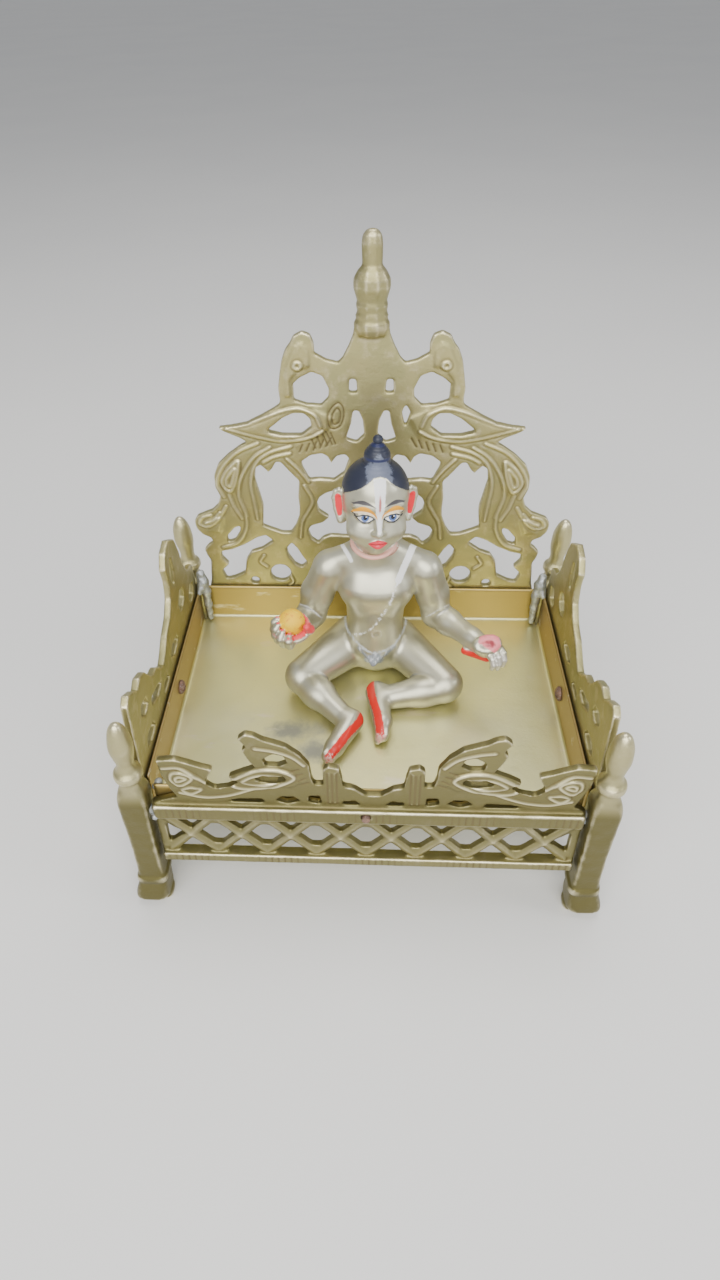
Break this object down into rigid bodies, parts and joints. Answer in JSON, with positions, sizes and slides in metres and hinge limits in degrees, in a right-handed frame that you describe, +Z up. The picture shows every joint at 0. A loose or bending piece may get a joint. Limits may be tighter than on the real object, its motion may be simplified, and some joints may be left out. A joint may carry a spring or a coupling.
{
  "type": "seated child deity figure on a small throne",
  "caption": "Seated child deity figure of painted brass holding a sweet, on a four-legged pierced brass throne with a peacock crest.",
  "frame": {"origin": "on the ground under the middle of the throne", "axes": "+Z up, the figure and the throne's front face -Y, +X to the viewer's right"},
  "size_m": [0.2548, 0.1882, 0.3085],
  "materials": {
    "cast_brass": "aged satin casting",
    "sheet_brass": "worn bent sheet",
    "rusty_steel": "rusted",
    "painted_brass": "satin, part painted"
  },
  "bodies": {
    "root": {"leg_front_left": "cast_brass", "leg_front_right": "cast_brass", "leg_back_left": "cast_brass", "leg_back_right": "cast_brass", "front_panel": "cast_brass", "back_panel": "cast_brass", "side_panel_left": "cast_brass", "side_panel_right": "cast_brass", "seat_tray": "sheet_brass", "screw_left": "rusty_steel", "screw_right": "rusty_steel", "screw_front": "rusty_steel", "screw_back": "rusty_steel", "seated_child": "painted_brass"}
  },
  "joints": []
}
